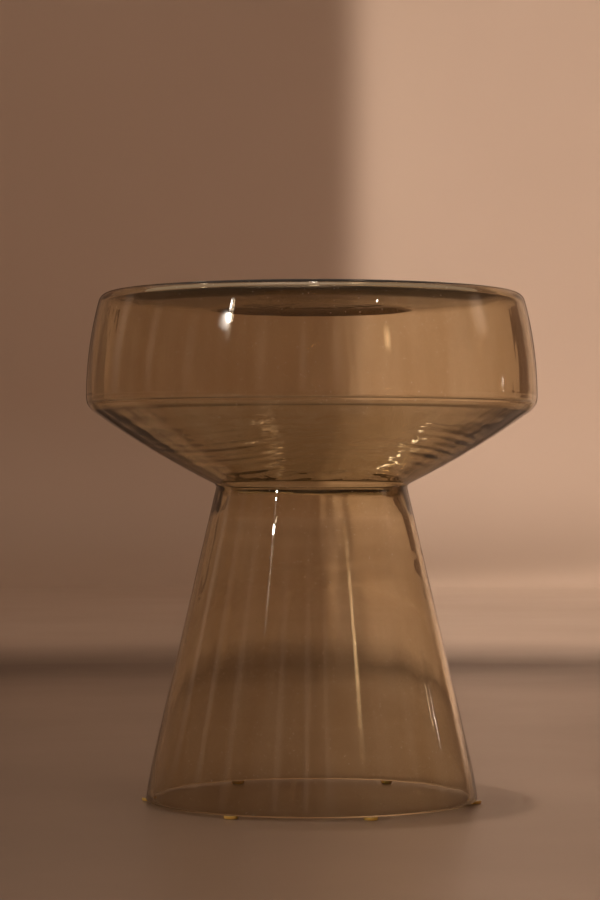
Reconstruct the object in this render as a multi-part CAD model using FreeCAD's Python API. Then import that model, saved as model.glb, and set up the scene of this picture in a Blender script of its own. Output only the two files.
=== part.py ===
import FreeCAD, Part
import math
import os

# A waisted glass side table: one blown glass body standing on six stick-on bumper pads.
#
# The body is a single hollow glass form, open underneath and closed on top. From the floor up it
# is a conical foot with a cut and polished rim, a narrow waist, a shallow dish and a low drum whose
# flat top is the table. Each pad is a soft disc, and a round of clear tape holds it to the rim.
#
# Units are millimetres. The origin is on the floor, on the axis of the glass. +Z is up and -Y is
# the front. A point written as (radius, height) lies on the outline that is turned about the axis.

V = FreeCAD.Vector

# Driving sizes
OVERALL_HEIGHT = 450.0
DRUM_DIAMETER = 400.0

# Outside of the glass, as the mould shapes it
RIM_RADIUS = 147.0
FOOT_BEND = (140.0, 42.0)  # the foot is straight above this point and curls in to the rim below it
WAIST = (84.5, 280.0)
DISH_MIDDLE = (139.3, 309.5)  # a point half way up the dish, which bulges a little
SHOULDER_HEIGHT = 349.6  # where the dish meets the drum wall
DRUM_WIDEST_HEIGHT = 358.0
DRUM_WALL_CURVE = 330.0  # radius of the arc that leans the drum wall inwards
WAIST_ROUND = 4.0
SHOULDER_ROUND = 17.0
TOP_EDGE_ROUND = 10.0

# Thickness of the glass, which is greater where the glass was stretched least
RIM_WALL = 5.0
FOOT_WALL = 4.4
COLLAR = (90.3, 255.0)  # the foot's wall is nearly even up to here and thickens to the waist
COLLAR_WALL = 4.0
COLLAR_BLEND = 60.0  # radius that smooths the inside of the collar
WAIST_WALL = 9.5
DISH_WALL = 6.6
SHOULDER_RISE = 1.8  # how much higher the hollow's shoulder is than the outside's
DRUM_WALL = 4.2
TOP_EDGE_WALL = 2.5  # thickness of the top where it meets the drum wall
TOP_WALLS = (  # radius and thickness of the top, from the edge to a thick ring and on to the middle
    (152.0, 10.8),
    (90.0, 14.4),
    (75.0, 9.8),
    (0.0, 7.0),
)
TOP_WALL_BLENDS = (60.0, 6.0, 90.0)  # radii that smooth the corners between those places
INNER_WAIST_ROUND = 10.0
INNER_SHOULDER_ROUND = 13.0
INNER_TOP_EDGE_ROUND = 7.4
RIM_BEVEL = 0.6
HOLLOW_OVERRUN = 10.0  # how far the hollow runs on below the rim, so that the cut is clean

# Bumper pads and their tape
PAD_DIAMETER = 12.0
PAD_TOE_DIAMETER = 11.0
PAD_TOE_ROUND = 0.7
PAD_HEIGHT = 2.85
TAPE_DIAMETER = 11.4
TAPE_THICKNESS = 0.15
PAD_ANGLES = {  # degrees about +Z from +X, set down by hand and so not quite evenly spaced
    "right": -8.0,
    "back_right": 61.0,
    "back_left": 119.0,
    "left": 180.0,
    "front_left": 242.0,
    "front_right": 290.0,
}

RIM_HEIGHT = PAD_HEIGHT + TAPE_THICKNESS
SAME_PLACE = 0.001  # two places closer than this are the same


def at(point):
    """The place of a (radius, height) point in the XZ plane."""
    radius, height = point
    return V(radius, 0, height)


def line_between(start, end):
    """A straight edge between two (radius, height) points."""
    return Part.makeLine(at(start), at(end))


def arc_through(start, middle, end):
    """An arc through three (radius, height) points."""
    return Part.Arc(at(start), at(middle), at(end)).toShape()


def moved(point, angle_deg, distance):
    """A (radius, height) point moved by a distance, where 0 degrees is outwards and 90 is up."""
    angle = math.radians(angle_deg)
    return (point[0] + distance * math.cos(angle), point[1] + distance * math.sin(angle))


def direction_deg(start, end):
    """The direction from one (radius, height) point to another."""
    return math.degrees(math.atan2(end[1] - start[1], end[0] - start[0]))


def smooth_bend_middle(straight_from, bend, end):
    """The middle of the arc that carries on smoothly from a straight run at bend, and ends at end."""
    run = (at(bend) - at(straight_from)).normalize()
    chord = at(end) - at(bend)
    half_sweep = run.getAngle(chord)
    rise = chord.Length / 2 * math.tan(half_sweep / 2)
    along = V(chord).normalize()
    outwards = (run - along * run.dot(along)).normalize()
    middle = at(bend) + chord / 2 + outwards * rise
    return (middle.x, middle.z)


def blended_run(points, blends):
    """Straight edges through (radius, height) points, with an arc at each corner between them."""
    edges = []
    start = points[0]
    for before, corner, after, radius in zip(points, points[1:], points[2:], blends):
        way_in = (at(corner) - at(before)).normalize()
        way_out = (at(after) - at(corner)).normalize()
        half_turn = way_in.getAngle(way_out) / 2
        tangent = radius * math.tan(half_turn)
        inwards = (way_out - way_in).normalize()
        arc_start = at(corner) - way_in * tangent
        arc_middle = at(corner) + inwards * (radius / math.cos(half_turn) - radius)
        arc_end = at(corner) + way_out * tangent
        edges.append(Part.makeLine(at(start), arc_start))
        edges.append(Part.Arc(arc_start, arc_middle, arc_end).toShape())
        start = (arc_end.x, arc_end.z)
    edges.append(line_between(start, points[-1]))
    return edges


def drum_wall_point(height, widest_radius, curve):
    """The (radius, height) point of the leaning drum wall at a height."""
    rise = height - DRUM_WIDEST_HEIGHT
    return (widest_radius - curve + math.sqrt(curve**2 - rise**2), height)


def rings_at(solid, point):
    """The circular edges of a turned solid that pass through a (radius, height) point."""
    rings = []
    for edge in solid.Edges:
        corner = edge.Vertexes[0].Point
        radius = math.hypot(corner.x, corner.y)
        is_level = edge.BoundBox.ZLength < SAME_PLACE
        is_there = abs(radius - point[0]) < SAME_PLACE and abs(corner.z - point[1]) < SAME_PLACE
        if is_level and is_there:
            rings.append(edge)
    return rings


def turned_form(rim, foot, dish, drum, top_edges, rounds):
    """A solid shaped like the table, with its waist, shoulder and top edge rounded.

    rim and dish are (radius, height) points. foot holds the points from the bend up to the waist
    and the radii that smooth the corners between them. drum is the drum wall's widest radius,
    the radius of its curve and the heights of its shoulder and its top. top_edges run from the
    top of the drum wall in to the axis. rounds holds the radii at the waist, the shoulder and the
    top edge.
    """
    widest_radius, curve, shoulder_height, top_height = drum
    shoulder = drum_wall_point(shoulder_height, widest_radius, curve)
    wall_middle = drum_wall_point((shoulder_height + top_height) / 2, widest_radius, curve)
    top_edge = drum_wall_point(top_height, widest_radius, curve)
    foot_points, foot_blends = foot
    bend, waist = foot_points[0], foot_points[-1]
    floor_centre = (0, rim[1])
    top_centre = top_edges[-1].Vertexes[-1].Point
    outline = Part.Wire([
        line_between(floor_centre, rim),
        arc_through(rim, smooth_bend_middle(foot_points[1], bend, rim), bend),
        *blended_run(foot_points, foot_blends),
        arc_through(waist, dish, shoulder),
        arc_through(shoulder, wall_middle, top_edge),
        *top_edges,
        Part.makeLine(top_centre, at(floor_centre)),
    ])
    solid = Part.Face(outline).revolve(V(0, 0, 0), V(0, 0, 1), 360)
    for corner, radius in zip((waist, shoulder, top_edge), rounds):
        solid = solid.makeFillet(radius, rings_at(solid, corner))
    return solid


def glass_outside():
    """The glass as if it were solid right through."""
    top_edge = drum_wall_point(OVERALL_HEIGHT, DRUM_DIAMETER / 2, DRUM_WALL_CURVE)
    return turned_form(
        rim=(RIM_RADIUS, RIM_HEIGHT),
        foot=((FOOT_BEND, WAIST), ()),
        dish=DISH_MIDDLE,
        drum=(DRUM_DIAMETER / 2, DRUM_WALL_CURVE, SHOULDER_HEIGHT, OVERALL_HEIGHT),
        top_edges=[line_between(top_edge, (0, OVERALL_HEIGHT))],
        rounds=(WAIST_ROUND, SHOULDER_ROUND, TOP_EDGE_ROUND),
    )


def glass_hollow():
    """The air inside the glass, which runs out through the rim."""
    foot_direction = direction_deg(FOOT_BEND, WAIST)
    shoulder = drum_wall_point(SHOULDER_HEIGHT, DRUM_DIAMETER / 2, DRUM_WALL_CURVE)
    dish_direction = direction_deg(WAIST, shoulder)
    into_foot = foot_direction + 90
    into_dish = dish_direction + 90
    foot_points = (
        moved(FOOT_BEND, into_foot, FOOT_WALL),
        moved(COLLAR, into_foot, COLLAR_WALL),
        moved(WAIST, (into_foot + into_dish) / 2, WAIST_WALL),
    )
    drum = (
        DRUM_DIAMETER / 2 - DRUM_WALL,
        DRUM_WALL_CURVE - DRUM_WALL,
        SHOULDER_HEIGHT + SHOULDER_RISE,
        OVERALL_HEIGHT - TOP_EDGE_WALL,
    )
    ceiling = [drum_wall_point(drum[3], drum[0], drum[1])]
    for radius, thickness in TOP_WALLS:
        ceiling.append((radius, OVERALL_HEIGHT - thickness))
    return turned_form(
        rim=(RIM_RADIUS - RIM_WALL, RIM_HEIGHT - HOLLOW_OVERRUN),
        foot=(foot_points, (COLLAR_BLEND,)),
        dish=moved(DISH_MIDDLE, into_dish, DISH_WALL),
        drum=drum,
        top_edges=blended_run(ceiling, TOP_WALL_BLENDS),
        rounds=(INNER_WAIST_ROUND, INNER_SHOULDER_ROUND, INNER_TOP_EDGE_ROUND),
    )


def glass_body():
    """The blown glass, with both edges of its cut rim bevelled."""
    body = glass_outside().cut(glass_hollow())
    rim_edges = []
    for edge in body.Edges:
        box = edge.BoundBox
        if abs(box.ZMin - RIM_HEIGHT) < SAME_PLACE and box.ZLength < SAME_PLACE:
            rim_edges.append(edge)
    return body.makeChamfer(RIM_BEVEL, rim_edges)


def pad_centre(angle_deg):
    """The middle of a pad on the floor, under the middle of the rim's thickness."""
    radius = RIM_RADIUS - RIM_WALL / 2
    angle = math.radians(angle_deg)
    return V(radius * math.cos(angle), radius * math.sin(angle), 0)


def bumper_pad(angle_deg):
    """A soft disc that narrows to the floor and has a rounded toe."""
    toe_radius = PAD_TOE_DIAMETER / 2
    pad = Part.makeCone(toe_radius, PAD_DIAMETER / 2, PAD_HEIGHT)
    pad = pad.makeFillet(PAD_TOE_ROUND, rings_at(pad, (toe_radius, 0)))
    return pad.translated(pad_centre(angle_deg))


def pad_tape(angle_deg):
    """The round of clear double-sided tape between a pad and the rim."""
    tape = Part.makeCylinder(TAPE_DIAMETER / 2, TAPE_THICKNESS, V(0, 0, PAD_HEIGHT))
    return tape.translated(pad_centre(angle_deg))


def write_piece(name, shape):
    """Write a piece to its own file, after checking that it is one sound solid."""
    if len(shape.Solids) != 1 or not shape.Solids[0].isValid():
        raise ValueError(f"{name} is not one valid solid")
    shape.Solids[0].exportStep(f"parts/{name}.step")


os.makedirs("parts", exist_ok=True)
write_piece("glass_body", glass_body())
for place, pad_angle in PAD_ANGLES.items():
    write_piece(f"{place}_bumper_pad", bumper_pad(pad_angle))
    write_piece(f"{place}_pad_tape", pad_tape(pad_angle))
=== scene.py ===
import math
import random

import bmesh
import bpy
import numpy as np
from mathutils import Matrix, Vector


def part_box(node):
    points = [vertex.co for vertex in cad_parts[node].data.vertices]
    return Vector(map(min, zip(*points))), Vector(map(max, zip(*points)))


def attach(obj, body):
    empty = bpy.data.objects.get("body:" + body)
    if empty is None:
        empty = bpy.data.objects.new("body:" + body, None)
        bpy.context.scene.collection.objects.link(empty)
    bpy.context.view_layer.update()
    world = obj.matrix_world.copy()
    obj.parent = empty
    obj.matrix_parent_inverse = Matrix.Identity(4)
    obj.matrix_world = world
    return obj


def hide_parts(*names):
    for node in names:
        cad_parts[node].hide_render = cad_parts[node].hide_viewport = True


# The looks of a waisted side table blown from smoky amber glass, on six stick-on bumper pads.
# Lengths that shape a piece are in millimetres, and MM turns them into metres. Places of pieces
# and everything on the stage are in metres. -Y is the front.

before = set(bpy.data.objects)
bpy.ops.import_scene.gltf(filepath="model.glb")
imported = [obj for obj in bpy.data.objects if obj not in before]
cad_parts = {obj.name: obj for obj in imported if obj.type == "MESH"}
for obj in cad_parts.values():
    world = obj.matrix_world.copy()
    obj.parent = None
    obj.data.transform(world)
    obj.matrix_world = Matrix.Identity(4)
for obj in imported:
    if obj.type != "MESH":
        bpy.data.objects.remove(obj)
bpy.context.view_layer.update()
MM = 0.001

# Outline of the glass as (radius, height) points, from the rim up to the middle of the top
GLASS_LOW, GLASS_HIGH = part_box("glass_body")
RIM_HEIGHT = GLASS_LOW.z / MM
TOP_HEIGHT = GLASS_HIGH.z / MM
DRUM_RADIUS = 200.0
RIM_RADIUS = 147.0
FOOT_BEND = (140.0, 42.0)  # the foot is straight above this point and curls in to the rim below it
WAIST = (84.5, 280.0)
DISH_MIDDLE = (139.3, 309.5)
SHOULDER_HEIGHT = 349.6
DRUM_WIDEST_HEIGHT = 358.0
DRUM_WALL_CURVE = 330.0  # radius of the arc that leans the drum wall inwards
OUTER_ROUNDS = (4.0, 17.0, 10.0)  # at the waist, the shoulder and the top edge
INNER_ROUNDS = (10.0, 13.0, 7.4)
RIM_ARRIS = 0.7  # radius that softens both edges of the cut rim

# Thickness of the glass
RIM_WALL = 5.0
FOOT_WALL = 4.4
COLLAR = (90.3, 255.0)  # the foot's wall is nearly even up to here and thickens to the waist
COLLAR_WALL = 4.0
COLLAR_BLEND = 60.0
WAIST_WALL = 9.5
DISH_WALL = 6.6
SHOULDER_RISE = 1.8  # how far the inner shoulder is above the outer one
DRUM_WALL = 4.2
TOP_EDGE_WALL = 2.5
TOP_WALLS = ((152.0, 10.8), (90.0, 14.4), (75.0, 9.8), (0.0, 7.0))  # (radius, thickness) of the top
TOP_WALL_BLENDS = (60.0, 6.0, 90.0)  # radii that smooth the corners between those places

# The small unevenness of blown glass, as heights off its outline
OUTSIDE_INSET = 0.13  # sets the outside in, so that its ripples mostly stay within the outline
CHILL_RIPPLE = 0.03
BEAD_RIPPLE = 0.055
BEAD_HEIGHT = 230.0  # the beads are on the foot, about this height up
BEADED_SIDE = math.radians(248.5)
RING_RIPPLE = 0.060
RING_HEIGHT = WAIST[1] + 27
CORD_RIPPLE = 0.02
STRIPE_RIPPLE = 0.06
SLOW_RIPPLE = 0.03
SEAM_HEIGHT = 351.6  # the mould's joint leaves a fine line round the shoulder
SEAM_HALF_WIDTH = 0.8
SEAM_RISE = 0.26

# How finely the pieces are drawn
STEP = 0.25  # between the points of an outline, before it is thinned
SEGMENTS = 256
DISC_SEGMENTS = 64
ROOM_SEGMENTS = 128
SHARPEST_TURN = math.radians(6)  # between one ring of the glass and the next
SEAM_GAP = 0.45  # the longest gaps between the rings
RIPPLED_GAP = 2.2
TOP_GAP = 8.0
PLAIN_GAP = 4.2
POLE_RADIUS = 2.0  # the glass closes to a point inside this radius
DISC_POLE_RADIUS = 0.4

# Bumper pads and tape
PAD_PLACES = ("right", "back_right", "back_left", "left", "front_left", "front_right")
PAD_TOE_SHARE = 11.0 / 12.0  # the foot's width as a share of the pad's
PAD_BELLY_SHARE = 0.995
PAD_BELLY_HEIGHT_SHARE = 0.62
PAD_TOP_SHARE = 0.985
PAD_TOE_ROUND = 0.7
PAD_TOP_ROUND = 0.15
PAD_DISHING = 0.12  # the foot is slightly hollow in the middle
TAPE_CORNER_INSET = 0.05  # how far the cut edge is drawn in at its corners and its middle
TAPE_MIDDLE_INSET = 0.01

# The glass itself. The tint is what one wall lets through, and the absorption is per metre.
GLASS_IOR = 1.5
GLASS_TINT_LIGHT = (0.985, 0.945, 0.875)
GLASS_TINT_DEEP = (0.935, 0.872, 0.765)
GLASS_ABSORPTION = (27.0, 34.5, 57.0)
GLASS_DUST = (0.97, 0.95, 0.92)
SMUDGES = (  # middle and radius, in metres
    ((-0.067, -0.186, 0.399), 0.034),
    ((0.142, -0.139, 0.404), 0.036),
)
GREASE_ROUGHNESS = 0.34
DUST_ROUGHNESS = 0.38

# Colours of the other materials, each with a second one that it is clouded with
RUBBER = ((0.90, 0.62, 0.17), (0.78, 0.47, 0.10))
RUBBER_SOILED_TOE = (0.36, 0.30, 0.24)
RUBBER_GRIT = (0.30, 0.25, 0.20)
TAPE = ((0.90, 0.88, 0.80), (0.82, 0.79, 0.70))
TAPE_AIR = (0.97, 0.96, 0.93)
FLOOR = ((0.35, 0.265, 0.205), (0.285, 0.215, 0.165))
FLOOR_BEYOND = ((0.62, 0.50, 0.41), (0.55, 0.435, 0.35))
WALL = ((0.72, 0.585, 0.485), (0.66, 0.53, 0.435))
# Painted shade: the floor is darkened towards this colour near its far edge, on both sides of it
PAINTED_SHADE_COLOUR = (0.08, 0.055, 0.04)
CLOTH = ((0.12, 0.075, 0.052), (0.16, 0.10, 0.07))

# The stage, in metres
TABLE_MIDDLE = Vector((0, 0, 0.25))
ROOM_RADIUS = 5.2
ROOM_COVE = 0.5
ROOM_HEIGHT = 4.5
FLOOR_RADIUS = 1.81  # the floor is darker inside this, which draws its far edge behind the table
FLOOR_EDGE_SOFTNESS = 0.02
# How far from the floor's far edge the painted shade reaches
PAINTED_SHADE_REACH = 0.70
FLAG_SIZE = (0.5, 3.0)
FLAG_PLACES = {"left": (-1.10, 4.7, 1.3), "right": (1.10, 4.7, 1.3)}

# Light. A radiance is that of a lamp's face, and an edge is the share of it over which it fades.
WARM_LIGHT = (1.0, 0.74, 0.57)
WALL_LIGHT = (1.0, 0.81, 0.67)
LAMP_LIGHT = (1.0, 0.90, 0.80)
GOLDEN_LIGHT = (1.0, 0.66, 0.34)
WORLD_STRENGTH = 0.32
SOFTBOX_EDGE = 0.45
LAMP_DISTANCE = 3.0
LAMPS = (  # name, azimuth, elevation, (width, height), radiance and colour
    ("key_lamp", 43, 24.4, (0.12, 0.14), 600, LAMP_LIGHT),
    ("key_lamp_head", 43, 28.0, (0.07, 0.24), 80, LAMP_LIGHT),
    ("key_lamp_foot", 43, 21.0, (0.08, 0.30), 4, LAMP_LIGHT),
    ("glint_lamp", -35, 30.0, (0.05, 0.05), 250, LAMP_LIGHT),
    ("golden_strip", -38, 18.5, (0.22, 0.50), 5, GOLDEN_LIGHT),
    ("right_softbox", -97, 20.0, (0.7, 0.6), 1.4, WARM_LIGHT),
    ("right_glint_lamp", -109, 6.0, (0.04, 0.14), 18, LAMP_LIGHT),
)
SIDE_STRIP_DISTANCE = 3.4
SIDE_STRIP_ELEVATION = 14
SIDE_STRIP_HEIGHT = 2.0
SIDE_STRIPS = (  # azimuth, width and radiance of the dim tall strips that lay soft bands on the glass
    (115, 0.60, 0.28),
    (88, 0.45, 0.28),
    (63, 0.50, 0.22),
    (25, 0.45, 0.20),
    (4, 0.35, 0.30),
    (-12, 0.25, 0.30),
)
WASHES = (  # name, place, target, (width, height), radiance, edge and spread of the straight beams
    ("wall_wash", (1.68, 2.2, 2.1), (1.68, 5.0, 1.55), (3.2, 3.4), 0.49, 0.03, 3.2),
    ("cove_wash", (1.66, 3.2, 3.4), (1.66, 3.35, 0.0), (3.2, 3.1), 0.42, 0.04, 4),
    ("floor_wash", (1.71, 0.2, 3.4), (1.71, 0.2, 0.0), (3.6, 3.2), 0.29, 0.08, 4),
)

CAMERA_DISTANCE = 2.38
CAMERA_HEIGHT = 0.2846
CAMERA_LENS = 107.2
CAMERA_PITCH_DEG = 0.64
CAMERA_YAW_DEG = 0.25


# Outlines, as arrays of (radius, height) points

def straight(start, end):
    """Points along a straight run."""
    start, end = np.array(start, float), np.array(end, float)
    count = max(2, int(np.linalg.norm(end - start) / STEP))
    return start + (end - start) * np.linspace(0, 1, count)[:, None]


def arc_about(centre, start, end):
    """Points along the shorter arc about a centre from one point to another."""
    centre, start, end = (np.array(p, float) for p in (centre, start, end))
    radius = np.linalg.norm(start - centre)
    first = math.atan2(start[1] - centre[1], start[0] - centre[0])
    last = math.atan2(end[1] - centre[1], end[0] - centre[0])
    sweep = (last - first + math.pi) % (2 * math.pi) - math.pi
    count = max(8, int(abs(sweep) * radius / STEP))
    angles = first + sweep * np.linspace(0, 1, count)
    return centre + radius * np.stack([np.cos(angles), np.sin(angles)], 1)


def arc_through(start, middle, end):
    """Points along the arc through three points."""
    (ax, ay), (bx, by), (cx, cy) = start, middle, end
    twice_area = 2 * (ax * (by - cy) + bx * (cy - ay) + cx * (ay - by))
    a2, b2, c2 = ax**2 + ay**2, bx**2 + by**2, cx**2 + cy**2
    centre = (
        (a2 * (by - cy) + b2 * (cy - ay) + c2 * (ay - by)) / twice_area,
        (a2 * (cx - bx) + b2 * (ax - cx) + c2 * (bx - ax)) / twice_area,
    )
    return arc_about(centre, start, end)


def normals(points):
    """Unit vectors to the right of the way that a run of points goes."""
    way = np.gradient(points, axis=0)
    way /= np.linalg.norm(way, axis=1)[:, None]
    return np.stack([way[:, 1], -way[:, 0]], 1)


def rounded(before, after, radius):
    """Two runs that meet in a corner, joined by an arc that touches both."""
    way_in, way_out = before[-1] - before[-2], after[1] - after[0]
    side = -np.sign(way_in[0] * way_out[1] - way_in[1] * way_out[0])
    centres_in = before + side * radius * normals(before)
    centres_out = after + side * radius * normals(after)
    gaps = np.linalg.norm(centres_in[:, None] - centres_out[None], axis=2)
    i, j = np.unravel_index(gaps.argmin(), gaps.shape)
    arc = arc_about((centres_in[i] + centres_out[j]) / 2, before[i], after[j])
    return np.concatenate([before[:i], arc, after[j + 1:]])


def moved(point, angle_deg, distance):
    """A point moved by a distance, where 0 degrees is outwards and 90 is up."""
    angle = math.radians(angle_deg)
    return (point[0] + distance * math.cos(angle), point[1] + distance * math.sin(angle))


def direction_deg(start, end):
    """The direction from one point to another."""
    return math.degrees(math.atan2(end[1] - start[1], end[0] - start[0]))


def drum_point(height, widest, curve):
    """The point of the leaning drum wall at a height."""
    rise = height - DRUM_WIDEST_HEIGHT
    return (widest - curve + math.sqrt(curve**2 - rise**2), height)


def foot_arc(rim, bend, waist):
    """The arc from the rim that carries on smoothly into the straight run from bend to waist."""
    waist, bend, rim = (np.array(p, float) for p in (waist, bend, rim))
    run = (bend - waist) / np.linalg.norm(bend - waist)
    chord = rim - bend
    side = np.array([-run[1], run[0]])
    radius = chord @ chord / (2 * (chord @ side))
    return arc_about(bend + side * radius, rim, bend)


def ceiling():
    """The underside of the top, from the drum wall to the middle of the table."""
    corner = drum_point(TOP_HEIGHT - TOP_EDGE_WALL, DRUM_RADIUS - DRUM_WALL, DRUM_WALL_CURVE - DRUM_WALL)
    points = [corner] + [(radius, TOP_HEIGHT - wall) for radius, wall in TOP_WALLS]
    path = straight(points[0], points[1])
    for start, end, blend in zip(points[1:], points[2:], TOP_WALL_BLENDS):
        path = rounded(path, straight(start, end), blend)
    return path


def outline(rim, foot, dish, drum, top, rounds):
    """From the rim up to the middle of the top, with the waist, shoulder and top edge rounded."""
    widest, curve, shoulder_height = drum
    waist_round, shoulder_round, top_edge_round = rounds
    top_height = top[0][1]
    shoulder = drum_point(shoulder_height, widest, curve)
    wall_middle = drum_point((shoulder_height + top_height) / 2, widest, curve)
    top_edge = drum_point(top_height, widest, curve)
    path = np.concatenate([foot_arc(rim, foot[0], foot[1])[:-1], foot])
    path = rounded(path, arc_through(foot[-1], dish, shoulder), waist_round)
    path = rounded(path, arc_through(shoulder, wall_middle, top_edge), shoulder_round)
    return rounded(path, top, top_edge_round)


def glass_outline():
    """The skin of the glass: from the middle of the top down the outside, under the rim, and up
    the inside to the middle of its ceiling. Also the number of points before the rim."""
    outside = outline(
        (RIM_RADIUS, RIM_HEIGHT), straight(FOOT_BEND, WAIST), DISH_MIDDLE,
        (DRUM_RADIUS, DRUM_WALL_CURVE, SHOULDER_HEIGHT),
        straight((DRUM_RADIUS, TOP_HEIGHT), (0, TOP_HEIGHT)), OUTER_ROUNDS,
    )
    shoulder = drum_point(SHOULDER_HEIGHT, DRUM_RADIUS, DRUM_WALL_CURVE)
    into_foot = direction_deg(FOOT_BEND, WAIST) + 90
    into_dish = direction_deg(WAIST, shoulder) + 90
    collar = moved(COLLAR, into_foot, COLLAR_WALL)
    waist = moved(WAIST, (into_foot + into_dish) / 2, WAIST_WALL)
    foot = straight(moved(FOOT_BEND, into_foot, FOOT_WALL), collar)
    inside = outline(
        (RIM_RADIUS - RIM_WALL, RIM_HEIGHT),
        rounded(foot, straight(collar, waist), COLLAR_BLEND),
        moved(DISH_MIDDLE, into_dish, DISH_WALL),
        (DRUM_RADIUS - DRUM_WALL, DRUM_WALL_CURVE - DRUM_WALL, SHOULDER_HEIGHT + SHOULDER_RISE),
        ceiling(), INNER_ROUNDS,
    )
    down_outside = outside[outside[:, 0] > POLE_RADIUS][::-1]
    up_inside = inside[inside[:, 0] > POLE_RADIUS]
    path = rounded(down_outside, straight(down_outside[-1], up_inside[0]), RIM_ARRIS)
    return rounded(path, up_inside, RIM_ARRIS), len(down_outside)


def longest_gap(point):
    """The longest gap between two rings of the glass mesh near a point."""
    radius, height = point
    if abs(height - SEAM_HEIGHT) < SEAM_HALF_WIDTH * 4 and radius > DRUM_RADIUS - DRUM_WALL:
        return SEAM_GAP
    if height > SHOULDER_HEIGHT and radius < WAIST[0] * 1.7:
        return TOP_GAP
    if WAIST[1] - 25 < height < SHOULDER_HEIGHT + 12:
        return RIPPLED_GAP
    return PLAIN_GAP


def thinned(points):
    """Which points to keep, close together only where the outline turns or the glass ripples."""
    way = np.diff(points, axis=0)
    angle = np.unwrap(np.arctan2(way[:, 1], way[:, 0]))
    kept, cost = [0], 0.0
    for i in range(1, len(points) - 1):
        cost += np.linalg.norm(way[i - 1]) / longest_gap(points[i])
        cost += abs(angle[i] - angle[i - 1]) / SHARPEST_TURN
        if cost >= 1:
            kept.append(i)
            cost = 0.0
    return kept + [len(points) - 1]


# The small unevenness of blown glass

def wave_set(seed, count, shortest, longest):
    """Sine waves as rows of wavelength, phase and height, drawn between two wavelengths."""
    draw = random.Random(seed)
    rows = []
    for _ in range(count):
        wavelength = shortest * (longest / shortest) ** draw.random()
        rows.append((wavelength, draw.uniform(0, 2 * math.pi), draw.uniform(0.5, 1.0)))
    total = math.sqrt(sum(height**2 for _, _, height in rows) / 2)
    return [(wavelength, phase, height / total) for wavelength, phase, height in rows]


def along(waves, distance):
    """The height of a wave set at each distance, about 1 high on average."""
    return sum(h * np.sin(2 * math.pi * distance / w + p) for w, p, h in waves)


def around(seed, count, fewest, most, angle):
    """A wave round the axis that closes on itself, about 1 high on average."""
    draw = random.Random(seed)
    total = np.zeros_like(angle)
    for _ in range(count):
        total = total + np.sin(draw.randint(fewest, most) * angle + draw.uniform(0, 2 * math.pi))
    return total / math.sqrt(count / 2)


def near(value, middle, half_width):
    """1 at the middle, falling smoothly to 0."""
    return np.exp(-(((value - middle) / half_width) ** 2))


RING_WAVES = wave_set(11, 7, 8.0, 24.0)
CHILL_WAVES = wave_set(12, 6, 13.0, 34.0)
SLOW_WAVES = wave_set(13, 4, 60.0, 170.0)
BEAD_WAVES = wave_set(14, 5, 14.0, 36.0)


def outer_unevenness(distance, height, angle):
    """How far the outside stands off its outline: chill marks, a beaded streak and the seam."""
    by_waist = near(height, WAIST[1] - 30, 60) + near(height, WAIST[1] + 40, 30) * 0.6
    chill = along(CHILL_WAVES, distance + 6 * np.sin(angle + 1.0))
    beads = near(height, BEAD_HEIGHT, 45) * along(BEAD_WAVES, height + 4 * np.sin(angle * 3))
    beads = beads * (0.5 + 0.5 * np.cos(angle - BEADED_SIDE)) ** 3
    seam = near(height, SEAM_HEIGHT, SEAM_HALF_WIDTH)
    return -OUTSIDE_INSET - CHILL_RIPPLE * by_waist * chill + BEAD_RIPPLE * beads + SEAM_RISE * seam


def inner_unevenness(distance, height, angle):
    """How far the inside stands off its outline: rings, cords, upright stripes and slow waves."""
    swirl = distance + 9 * np.sin(angle * 2 + 0.4) + 5 * np.sin(angle * 3 + 2.0)
    rings = near(height, RING_HEIGHT, 20) * along(RING_WAVES, swirl)
    patchy = 0.65 + 0.35 * around(21, 4, 2, 7, angle)
    cords = around(22, 9, 9, 46, angle + height / 900)
    stripes = around(23, 7, 3, 17, angle) * np.clip((SHOULDER_HEIGHT - height) / 60, 0, 1)
    slow = along(SLOW_WAVES, swirl)
    return RING_RIPPLE * rings * patchy + CORD_RIPPLE * cords + STRIPE_RIPPLE * stripes + SLOW_RIPPLE * slow


# Pieces

def turned(points, out=None, offset=0.0, segments=SEGMENTS):
    """Rings of points: an outline turned about the axis, moved along the directions out."""
    angle = np.linspace(0, 2 * math.pi, segments, endpoint=False)[None, :]
    out = np.zeros_like(points) if out is None else out
    r = points[:, :1] + out[:, :1] * offset + 0 * angle
    z = points[:, 1:] + out[:, 1:] * offset + 0 * angle
    return np.stack([r * np.cos(angle), r * np.sin(angle), z], 2) * MM


def skin(name, rings, last_closed=True):
    """A smooth mesh over a stack of rings. Its first ring, and mostly its last, closes to a point."""
    count, segments = rings.shape[:2]
    vertices = [tuple(v) for v in rings.reshape(-1, 3)]
    faces = []
    for i in range(count - 1):
        a, b = i * segments, (i + 1) * segments
        for k in range(segments):
            n = (k + 1) % segments
            faces.append((a + k, b + k, b + n, a + n))
    for ring in (0, count - 1) if last_closed else (0,):
        middle, first = len(vertices), ring * segments
        vertices.append(tuple(rings[ring].mean(0)))
        for k in range(segments):
            faces.append((first + k, first + (k + 1) % segments, middle))
    mesh = bpy.data.meshes.new(name)
    mesh.from_pydata(vertices, [], faces)
    shape = bmesh.new()
    shape.from_mesh(mesh)
    bmesh.ops.recalc_face_normals(shape, faces=shape.faces)
    shape.to_mesh(mesh)
    shape.free()
    mesh.shade_smooth()
    piece = bpy.data.objects.new(name, mesh)
    bpy.context.scene.collection.objects.link(piece)
    return piece


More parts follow.
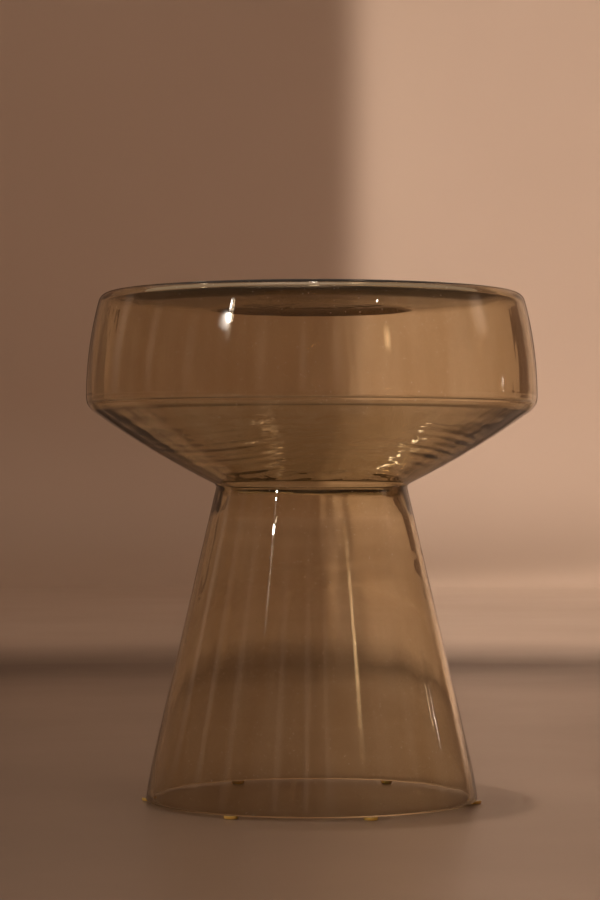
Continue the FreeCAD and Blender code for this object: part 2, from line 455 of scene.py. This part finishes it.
def glass_piece():
    """The blown glass, as one closed skin with the small unevenness of real glass."""
    path, outside_count = glass_outline()
    kept = thinned(path)
    steps = np.linalg.norm(np.diff(path, axis=0), axis=1)
    distance = np.concatenate([[0], np.cumsum(steps)])[kept, None]
    is_outside = (np.arange(len(path)) < outside_count)[kept, None]
    out = -normals(path)[kept]
    radius, height = path[kept, :1], path[kept, 1:]
    angle = np.linspace(0, 2 * math.pi, SEGMENTS, endpoint=False)[None, :]
    unevenness = np.where(
        is_outside,
        outer_unevenness(distance, height, angle),
        inner_unevenness(distance, height, angle),
    )
    fade = np.clip(radius / 40, 0, 1) * np.clip((height - RIM_HEIGHT - 2) / 12, 0, 1)
    return skin("blown_glass_body", turned(path[kept], out, unevenness * fade))


def pad_outline(low, high, radius):
    """A bumper pad's section, from the middle of its foot out and up to the middle of its top."""
    toe = radius * PAD_TOE_SHARE
    belly = (radius * PAD_BELLY_SHARE, low + (high - low) * PAD_BELLY_HEIGHT_SHARE)
    shoulder = (radius * PAD_TOP_SHARE, high)
    side = arc_through((toe, low), belly, shoulder)
    foot = straight((DISC_POLE_RADIUS, low + PAD_DISHING), (toe, low))
    path = rounded(foot, side, PAD_TOE_ROUND)
    return rounded(path, straight(shoulder, (DISC_POLE_RADIUS, high)), PAD_TOP_ROUND)


def tape_outline(low, high, radius):
    """The tape's section: a thin film whose cut edge is a little drawn in."""
    corner = radius - TAPE_CORNER_INSET
    middle = (radius - TAPE_MIDDLE_INSET, (low + high) / 2)
    edge = arc_through((corner, low), middle, (corner, high))
    bottom = straight((DISC_POLE_RADIUS, low), edge[0])
    top = straight(edge[-1], (DISC_POLE_RADIUS, high))
    return np.concatenate([bottom[:-1], edge, top[1:]])


def disc_piece(node_name, make_outline):
    """A bumper pad or a round of tape, in the place of its CAD node."""
    low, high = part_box(node_name)
    middle = (low + high) / 2
    radius = (high.x - low.x) / 2 / MM
    path = make_outline(low.z / MM, high.z / MM, radius)
    piece = skin(f"{node_name}_visual", turned(path, segments=DISC_SEGMENTS))
    piece.data.transform(Matrix.Translation((middle.x, middle.y, 0)))
    return piece


# Materials, each a tree of nodes

def feed(tree, socket, value):
    """Set a socket to a value, or link it to another socket."""
    if isinstance(value, bpy.types.NodeSocket):
        tree.links.new(value, socket)
    else:
        socket.default_value = value


def node(tree, kind, settings=None, **inputs):
    """A new node with its settings, and with its inputs set or linked. _ in a name is a space."""
    made = tree.nodes.new(kind)
    for name, value in (settings or {}).items():
        setattr(made, name, value)
    for name, value in inputs.items():
        feed(tree, made.inputs[name.replace("_", " ")], value)
    return made


def maths(tree, operation, a, b=0.0):
    """The result of a sum on two numbers or sockets."""
    made = node(tree, "ShaderNodeMath", {"operation": operation})
    feed(tree, made.inputs[0], a)
    feed(tree, made.inputs[1], b)
    return made.outputs[0]


def vector_maths(tree, operation, a, b=(0, 0, 0)):
    """The node of a sum on two vectors or sockets."""
    made = node(tree, "ShaderNodeVectorMath", {"operation": operation})
    feed(tree, made.inputs[0], a)
    feed(tree, made.inputs[1], b)
    return made


def noise(tree, where, scale, detail=2.0, stretch=(1, 1, 1)):
    """Smooth noise from 0 to 1."""
    at = vector_maths(tree, "MULTIPLY", where, stretch).outputs["Vector"]
    return node(tree, "ShaderNodeTexNoise", Vector=at, Scale=scale, Detail=detail).outputs[0]


def ramp(tree, value, low, high, to_low=0.0, to_high=1.0):
    """A value taken smoothly from one range to another, and held inside it."""
    made = node(
        tree, "ShaderNodeMapRange", {"interpolation_type": "SMOOTHSTEP"},
        Value=value, From_Min=low, From_Max=high, To_Min=to_low, To_Max=to_high,
    )
    return made.outputs[0]


def specks(tree, where, per_metre, size, share):
    """Round spots scattered over a share of the cells of a net. size is a share of a cell."""
    cells = node(tree, "ShaderNodeTexVoronoi", Vector=where, Scale=per_metre)
    pick = node(tree, "ShaderNodeSeparateColor", Color=cells.outputs["Color"]).outputs[0]
    spot = ramp(tree, cells.outputs["Distance"], size, size * 0.4)
    return maths(tree, "MULTIPLY", spot, maths(tree, "LESS_THAN", pick, share))


def patch(tree, where, middle, radius):
    """1 near a place, falling to 0 at a radius."""
    away = vector_maths(tree, "DISTANCE", where, middle).outputs["Value"]
    return ramp(tree, away, radius, radius * 0.3)


def mixed(tree, share, first, second):
    """A colour between two, as a socket."""
    made = node(tree, "ShaderNodeMix", {"data_type": "RGBA"})
    feed(tree, made.inputs[0], share)
    for index, colour in ((6, first), (7, second)):
        feed(tree, made.inputs[index], (*colour, 1) if isinstance(colour, tuple) else colour)
    return made.outputs[2]


def new_material(name):
    """A material with one Principled node. Returns it with its tree, that node and coordinates."""
    material = bpy.data.materials.new(name)
    material.use_nodes = True
    tree = material.node_tree
    where = tree.nodes.new("ShaderNodeTexCoord").outputs["Object"]
    return material, tree, tree.nodes["Principled BSDF"], where


def height_of(tree, where):
    """The height of a place, in metres."""
    return node(tree, "ShaderNodeSeparateXYZ", Vector=where).outputs["Z"]


def bump(tree, height, strength, depth):
    """A normal from a height. depth is in metres."""
    return node(tree, "ShaderNodeBump", Height=height, Strength=strength, Distance=depth).outputs[0]


def glass_grease(tree, where, smear):
    """Where the glass is greasy: two smudges left by hands, broken up by smears."""
    hands = maths(tree, "MAXIMUM", *[patch(tree, where, middle, radius) for middle, radius in SMUDGES])
    return maths(tree, "MULTIPLY", hands, ramp(tree, smear, 0.42, 0.66))


def amber_glass():
    """Smoky amber glass with cords, ripples, dust, dried drops and a few smudges from hands."""
    material, tree, shader, where = new_material("smoky_amber_glass")
    cords = noise(tree, where, scale=34, detail=3, stretch=(1, 1, 0.035))
    drawn = noise(tree, where, scale=15, detail=2, stretch=(0.5, 0.5, 3.0))
    smear = noise(tree, where, scale=26, detail=4, stretch=(1, 1, 0.6))
    dust = specks(tree, where, per_metre=330, size=0.17, share=0.14)
    drops = specks(tree, where, per_metre=130, size=0.10, share=0.05)
    spots = maths(tree, "MAXIMUM", dust, drops)
    tint = mixed(tree, ramp(tree, cords, 0.36, 0.64), GLASS_TINT_LIGHT, GLASS_TINT_DEEP)
    feed(tree, shader.inputs["Base Color"], mixed(tree, spots, tint, GLASS_DUST))
    haze = ramp(tree, smear, 0.55, 0.85, 0.0, 0.03)
    rough = maths(tree, "MULTIPLY", glass_grease(tree, where, smear), GREASE_ROUGHNESS)
    rough = maths(tree, "ADD", rough, haze)
    rough = maths(tree, "ADD", rough, maths(tree, "MULTIPLY", spots, DUST_ROUGHNESS))
    feed(tree, shader.inputs["Roughness"], rough)
    relief = maths(tree, "ADD", maths(tree, "MULTIPLY", cords, 0.5), maths(tree, "MULTIPLY", drawn, 0.5))
    relief = maths(tree, "ADD", relief, maths(tree, "MULTIPLY", spots, 0.08))
    feed(tree, shader.inputs["Normal"], bump(tree, relief, strength=0.5, depth=0.0004))
    shader.inputs["Transmission Weight"].default_value = 1.0
    shader.inputs["IOR"].default_value = GLASS_IOR
    density = max(GLASS_ABSORPTION)
    colour = tuple(1 - absorbed / density for absorbed in GLASS_ABSORPTION)
    volume = node(tree, "ShaderNodeVolumeAbsorption", Color=(*colour, 1), Density=density)
    feed(tree, tree.nodes["Material Output"].inputs["Volume"], volume.outputs[0])
    return material


def pad_rubber():
    """Translucent honey-coloured polyurethane, clouded, with floor dust on its toe."""
    material, tree, shader, where = new_material("honey_polyurethane")
    cloud = noise(tree, where, scale=420, detail=4)
    grit = specks(tree, where, per_metre=2600, size=0.22, share=0.25)
    toe = ramp(tree, height_of(tree, where), 0.0011, 0.0002)
    colour = mixed(tree, cloud, *RUBBER)
    colour = mixed(tree, maths(tree, "MULTIPLY", toe, 0.55), colour, RUBBER_SOILED_TOE)
    feed(tree, shader.inputs["Base Color"], mixed(tree, grit, colour, RUBBER_GRIT))
    feed(tree, shader.inputs["Roughness"], ramp(tree, cloud, 0.3, 0.7, 0.28, 0.46))
    feed(tree, shader.inputs["Normal"], bump(tree, cloud, strength=0.35, depth=0.0002))
    shader.inputs["Subsurface Weight"].default_value = 0.5
    shader.inputs["Subsurface Radius"].default_value = (1.0, 0.6, 0.2)
    shader.inputs["Subsurface Scale"].default_value = 0.003
    return material


def clear_tape():
    """Clear double-sided tape with small trapped bubbles of air."""
    material, tree, shader, where = new_material("clear_mounting_tape")
    air = specks(tree, where, per_metre=1400, size=0.30, share=0.30)
    cloud = noise(tree, where, scale=700, detail=3)
    feed(tree, shader.inputs["Base Color"], mixed(tree, air, mixed(tree, cloud, *TAPE), TAPE_AIR))
    feed(tree, shader.inputs["Roughness"], ramp(tree, cloud, 0.3, 0.7, 0.12, 0.30))
    feed(tree, shader.inputs["Normal"], bump(tree, air, strength=0.4, depth=0.0001))
    shader.inputs["Transmission Weight"].default_value = 0.85
    shader.inputs["IOR"].default_value = 1.47
    return material


def pale_floor():
    """Troweled plaster, faintly clouded and a little polished, and paler beyond its far edge, with painted
    shade darkening it near that edge.
    """
    material, tree, shader, where = new_material("pale_floor")
    cloud = noise(tree, where, scale=1.6, detail=5)
    fine = noise(tree, where, scale=60, detail=6)
    wall = ramp(tree, height_of(tree, where), 0.0, 0.3)
    away = vector_maths(tree, "LENGTH", where).outputs["Value"]
    beyond = ramp(tree, away, FLOOR_RADIUS - FLOOR_EDGE_SOFTNESS, FLOOR_RADIUS + FLOOR_EDGE_SOFTNESS)
    # Painted shade: the colour darkens on both sides of the floor's far edge, as if shade lay in a corner
    # there
    off_edge = maths(tree, "ABSOLUTE", maths(tree, "SUBTRACT", away, FLOOR_RADIUS))
    painted_shade = ramp(tree, off_edge, 0.0, PAINTED_SHADE_REACH, 0.85, 0.0)
    floor = mixed(tree, beyond, mixed(tree, cloud, *FLOOR), mixed(tree, cloud, *FLOOR_BEYOND))
    floor = mixed(tree, painted_shade, floor, PAINTED_SHADE_COLOUR)
    feed(tree, shader.inputs["Base Color"], mixed(tree, wall, floor, mixed(tree, cloud, *WALL)))
    polish = ramp(tree, cloud, 0.3, 0.7, 0.30, 0.40)
    feed(tree, shader.inputs["Roughness"], maths(tree, "ADD", polish, maths(tree, "MULTIPLY", wall, 0.4)))
    feed(tree, shader.inputs["Normal"], bump(tree, fine, strength=0.10, depth=0.0006))
    return material


def dark_cloth():
    """Dark brown duvetyn, a little lighter where its nap lies flat."""
    material, tree, shader, where = new_material("dark_cloth")
    nap = noise(tree, where, scale=9, detail=4)
    feed(tree, shader.inputs["Base Color"], mixed(tree, nap, *CLOTH))
    feed(tree, shader.inputs["Roughness"], ramp(tree, nap, 0.3, 0.7, 0.85, 1.0))
    return material


# The stage

def aim(thing, target):
    """Turn a light or a card towards a place."""
    thing.rotation_euler = (Vector(target) - thing.location).to_track_quat("-Z", "Y").to_euler()


def around_table(azimuth_deg, elevation_deg, distance):
    """A place seen from the middle of the table. 0 is towards the camera and 90 is to its left."""
    azimuth, elevation = math.radians(azimuth_deg), math.radians(elevation_deg)
    level = distance * math.cos(elevation)
    return Vector((
        -math.sin(azimuth) * level,
        -math.cos(azimuth) * level,
        TABLE_MIDDLE.z + distance * math.sin(elevation),
    ))


def fade_edges(light, edge):
    """Fade a light out towards the edges of its face."""
    light.use_nodes = True
    tree = light.node_tree
    place_on_light = tree.nodes.new("ShaderNodeNewGeometry").outputs["Parametric"]
    across = node(tree, "ShaderNodeSeparateXYZ", Vector=place_on_light)
    strength = 1.0
    for axis in ("X", "Y"):
        off_middle = maths(tree, "ABSOLUTE", maths(tree, "SUBTRACT", across.outputs[axis], 0.5))
        strength = maths(tree, "MULTIPLY", strength, ramp(tree, off_middle, 0.5, 0.5 - edge))
    feed(tree, tree.nodes["Emission"].inputs["Strength"], strength)


def softbox(name, place, target, size, radiance, colour=WARM_LIGHT, edge=SOFTBOX_EDGE, spread_deg=180):
    """A rectangular light with soft edges, which the camera sees only in the glass."""
    width, height = size
    light = bpy.data.lights.new(name, "AREA")
    light.shape = "RECTANGLE"
    light.size, light.size_y = width, height
    light.energy = radiance * width * height * math.pi
    light.color = colour
    light.spread = math.radians(spread_deg)
    fade_edges(light, edge)
    lamp = bpy.data.objects.new(name, light)
    bpy.context.scene.collection.objects.link(lamp)
    lamp.location = place
    aim(lamp, target)
    lamp.visible_camera = False


def build_lights():
    """Soft light from above, lamps whose glints the glass shows, and washes on the right."""
    middle = TABLE_MIDDLE
    softbox("overhead_softbox", (-0.3, -0.9, 3.3), middle, (2.8, 1.9), 2.1)
    for name, azimuth, elevation, size, radiance, colour in LAMPS:
        softbox(name, around_table(azimuth, elevation, LAMP_DISTANCE), middle, size, radiance, colour)
    for azimuth, width, radiance in SIDE_STRIPS:
        place = around_table(azimuth, SIDE_STRIP_ELEVATION, SIDE_STRIP_DISTANCE)
        softbox(f"side_strip_{azimuth}", place, middle, (width, SIDE_STRIP_HEIGHT), radiance)
    softbox("back_lamp", (-0.62, 2.7, 2.46), middle, (0.07, 0.14), 45, LAMP_LIGHT)
    softbox("back_strip", (0.34, 1.8, 2.9), middle, (0.07, 0.6), 5)
    for name, place, target, size, radiance, edge, spread_deg in WASHES:
        softbox(name, place, target, size, radiance, WALL_LIGHT, edge, spread_deg)


def build_flag(side, place):
    """A dark card that the camera sees only in the glass, whose edges it draws as thin dark lines."""
    bpy.ops.mesh.primitive_grid_add(x_subdivisions=2, y_subdivisions=2, size=1)
    card = bpy.context.object
    card.name = f"{side}_flag"
    card.scale = (*FLAG_SIZE, 1)
    card.location = place
    aim(card, TABLE_MIDDLE)
    card.data.materials.append(dark_cloth())
    card.visible_camera = False
    card.visible_diffuse = False
    card.visible_shadow = False


def build_room():
    """A floor that sweeps up into a wall all round."""
    foot_of_wall = (ROOM_RADIUS / MM, 0)
    floor_line = straight((POLE_RADIUS, 0), foot_of_wall)[::40]
    wall_line = straight(foot_of_wall, (ROOM_RADIUS / MM, ROOM_HEIGHT / MM))[::40]
    sweep = rounded(floor_line, wall_line, ROOM_COVE / MM)[::6]
    room = skin("pale_cyclorama", turned(sweep, segments=ROOM_SEGMENTS), last_closed=False)
    room.data.materials.append(pale_floor())


def build_world():
    """A dim warm glow above the walls."""
    world = bpy.data.worlds.new("soft_surround")
    world.use_nodes = True
    background = world.node_tree.nodes["Background"]
    background.inputs["Color"].default_value = (*WARM_LIGHT, 1)
    background.inputs["Strength"].default_value = WORLD_STRENGTH
    bpy.context.scene.world = world


def build_camera():
    """A camera low in front of the table, looking slightly up."""
    camera_data = bpy.data.cameras.new("camera")
    camera_data.lens = CAMERA_LENS
    camera_data.clip_end = 50
    camera = bpy.data.objects.new("camera", camera_data)
    bpy.context.scene.collection.objects.link(camera)
    camera.location = (0, -CAMERA_DISTANCE, CAMERA_HEIGHT)
    camera.rotation_euler = (math.radians(90 + CAMERA_PITCH_DEG), 0, math.radians(CAMERA_YAW_DEG))
    bpy.context.scene.camera = camera


def let_light_through_glass():
    """Enough bounces for the many surfaces of the glass, and colours shown as they are."""
    scene = bpy.context.scene
    scene.view_settings.view_transform = "Standard"
    scene.cycles.max_bounces = 32
    scene.cycles.transmission_bounces = 32
    scene.cycles.glossy_bounces = 12
    scene.cycles.use_denoising = True


def finish_piece(piece, node_name, material):
    """Give a piece its material, hide the CAD part that it stands for, and hang it on the root body."""
    piece.data.materials.append(material)
    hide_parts(node_name)
    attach(piece, "root")


finish_piece(glass_piece(), "glass_body", amber_glass())
rubber, tape_film = pad_rubber(), clear_tape()
for pad_place in PAD_PLACES:
    pad, tape = f"{pad_place}_bumper_pad", f"{pad_place}_pad_tape"
    finish_piece(disc_piece(pad, pad_outline), pad, rubber)
    finish_piece(disc_piece(tape, tape_outline), tape, tape_film)

build_room()
build_world()
build_lights()
for flag_side, flag_place in FLAG_PLACES.items():
    build_flag(flag_side, flag_place)
build_camera()
let_light_through_glass()
